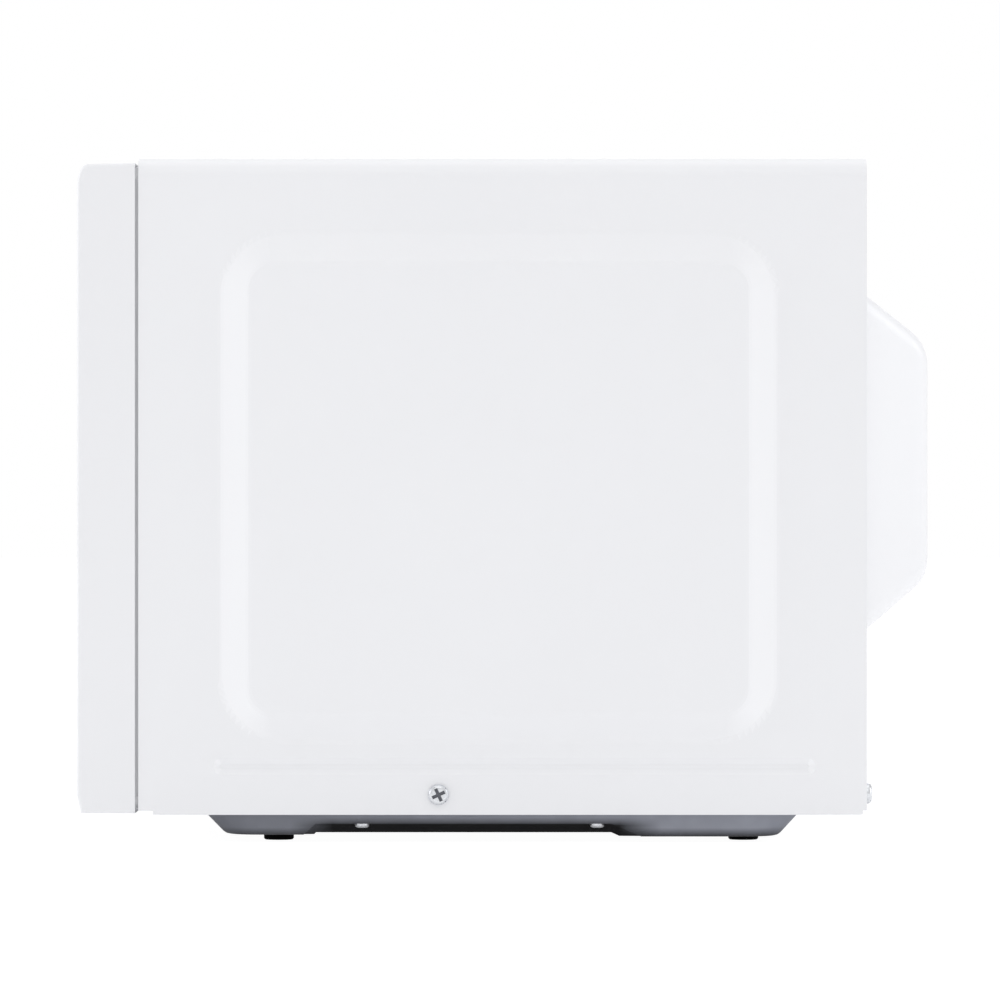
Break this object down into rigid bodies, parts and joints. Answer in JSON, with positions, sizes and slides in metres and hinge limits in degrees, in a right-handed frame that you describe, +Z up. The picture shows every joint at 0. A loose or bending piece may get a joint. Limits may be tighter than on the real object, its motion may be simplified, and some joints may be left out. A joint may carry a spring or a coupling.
{
  "type": "microwave oven",
  "caption": "Compact countertop microwave oven with a folded sheet cabinet, swinging door with push-button release, turntable, cooling fan and rear bump.",
  "frame": {"origin": "on the counter plane, under the middle of the whole oven's box", "axes": "+Z up, the front with the door faces -Y, +X to the right seen from the front"},
  "size_m": [0.452, 0.3274, 0.2623],
  "materials": {
    "white_paint": "semi-gloss powder coat",
    "white_plastic": "semi-gloss moulded",
    "dark_zinc": "dull zinc coated",
    "cavity_enamel": "light grey enamel",
    "black_rubber": "matt",
    "zinc_screw": "bright zinc",
    "black_plastic": "matt",
    "dark_panel": "satin membrane",
    "dark_glass": "tinted, polished",
    "circuit_board": "solder resist",
    "door_steel": "black, perforated",
    "clear_film": "clear",
    "grey_plastic": "moulded",
    "plated_steel": "zinc plated",
    "mica": "pressed mica sheet",
    "copper": "bare copper",
    "aluminium": "bare",
    "ferrite": "sintered",
    "core_steel": "varnished laminations",
    "copper_wire": "enamelled wire",
    "lamp_glass": "frosted",
    "clear_glass": "tempered, polished",
    "white_nylon": "moulded"
  },
  "bodies": {
    "chassis": {"base_plate": "dark_zinc", "base_screws": "zinc_screw", "capacitor": "aluminium", "capacitor_clamp": "plated_steel", "case_screws": "zinc_screw", "cavity_back": "cavity_enamel", "cavity_floor": "cavity_enamel", "cavity_wrap": "cavity_enamel", "control_board": "circuit_board", "control_housing": "white_plastic", "cord_gland": "black_plastic", "display_lens": "dark_glass", "display_module": "black_plastic", "door_switches": "black_plastic", "fan_motor": "core_steel", "fan_shroud": "grey_plastic", "filter_board": "circuit_board", "foot_front_left": "black_rubber", "foot_front_right": "black_rubber", "foot_rear_left": "black_rubber", "foot_rear_right": "black_rubber", "front_plate": "cavity_enamel", "hv_diode": "black_plastic", "interlock_bracket": "grey_plastic", "keypad_overlay": "dark_panel", "lamp_holder": "plated_steel", "lower_hinge": "plated_steel", "magnetron_filter_box": "plated_steel", "magnetron_fins": "aluminium", "magnetron_magnets": "ferrite", "magnetron_tube": "copper", "magnetron_yoke": "plated_steel", "outer_wrapper": "white_paint", "oven_lamp": "lamp_glass", "primary_winding": "copper_wire", "rear_panel": "white_paint", "secondary_winding": "copper_wire", "thermal_cutouts": "ferrite", "transformer_core": "core_steel", "turntable_motor": "plated_steel", "upper_hinge": "plated_steel", "waveguide": "plated_steel", "waveguide_cover": "mica"},
    "door": {"door_frame": "white_plastic", "door_glass": "dark_glass", "door_screen": "door_steel", "door_inner_film": "clear_film", "choke_cover": "grey_plastic"},
    "latch": {"door_latch": "grey_plastic"},
    "button": {"door_release_button": "white_plastic"},
    "crank": {"release_lever": "grey_plastic"},
    "fan": {"fan_blade": "grey_plastic", "fan_shaft": "plated_steel"},
    "turntable": {"glass_tray": "clear_glass", "drive_coupler": "grey_plastic"},
    "roller_carrier": {"roller_ring": "grey_plastic"},
    "wheel_1": {"roller_wheel_1": "white_nylon"},
    "wheel_2": {"roller_wheel_2": "white_nylon"},
    "wheel_3": {"roller_wheel_3": "white_nylon"}
  },
  "joints": [
    {"name": "door_swing", "type": "hinge", "parent": "chassis", "child": "door", "pos_m": [-0.2155, -0.15255, 0], "axis": [0, 0, -1], "range_deg": [0, 100]},
    {"name": "button_press", "type": "slide", "parent": "chassis", "child": "button", "axis": [0, 1, 0], "range_m": [0, 0.005], "stiffness_N_per_m": 400},
    {"name": "crank_turn", "type": "hinge", "parent": "chassis", "child": "crank", "pos_m": [0.1035, -0.12935, 0.058], "axis": [1, 0, 0], "range_deg": [-1, 14.02]},
    {"name": "latch_lift", "type": "slide", "parent": "door", "child": "latch", "axis": [0, 0, 1], "range_m": [0, 0.0026]},
    {"name": "fan_spin", "type": "hinge", "parent": "chassis", "child": "fan", "pos_m": [0.154, 0.16375, 0.14585], "axis": [0, 1, 0], "continuous": true},
    {"name": "turntable_spin", "type": "hinge", "parent": "chassis", "child": "turntable", "pos_m": [-0.0555, -0.0087, 0.0506], "axis": [0, 0, 1], "continuous": true},
    {"name": "roller_carrier_spin", "type": "hinge", "parent": "chassis", "child": "roller_carrier", "pos_m": [-0.0555, -0.0087, 0.0433], "axis": [0, 0, 1], "continuous": true},
    {"name": "wheel_1_roll", "type": "hinge", "parent": "roller_carrier", "child": "wheel_1", "pos_m": [0.04075, -0.0087, 0.0433], "axis": [1, 0, 0], "continuous": true},
    {"name": "wheel_2_roll", "type": "hinge", "parent": "roller_carrier", "child": "wheel_2", "pos_m": [-0.10362, 0.07465, 0.0433], "axis": [-0.5, 0.866, 0], "continuous": true},
    {"name": "wheel_3_roll", "type": "hinge", "parent": "roller_carrier", "child": "wheel_3", "pos_m": [-0.10362, -0.09205, 0.0433], "axis": [-0.5, -0.866, 0], "continuous": true}
  ],
  "couplings": [
    {"joint": "crank_turn", "follows": "button_press", "rad_per_m": 45.455},
    {"joint": "latch_lift", "follows": "button_press", "ratio": 0.52},
    {"joint": "roller_carrier_spin", "follows": "turntable_spin", "ratio": 0.5},
    {"joint": "wheel_1_roll", "follows": "turntable_spin", "ratio": -6.875},
    {"joint": "wheel_2_roll", "follows": "turntable_spin", "ratio": -6.875},
    {"joint": "wheel_3_roll", "follows": "turntable_spin", "ratio": -6.875}
  ]
}
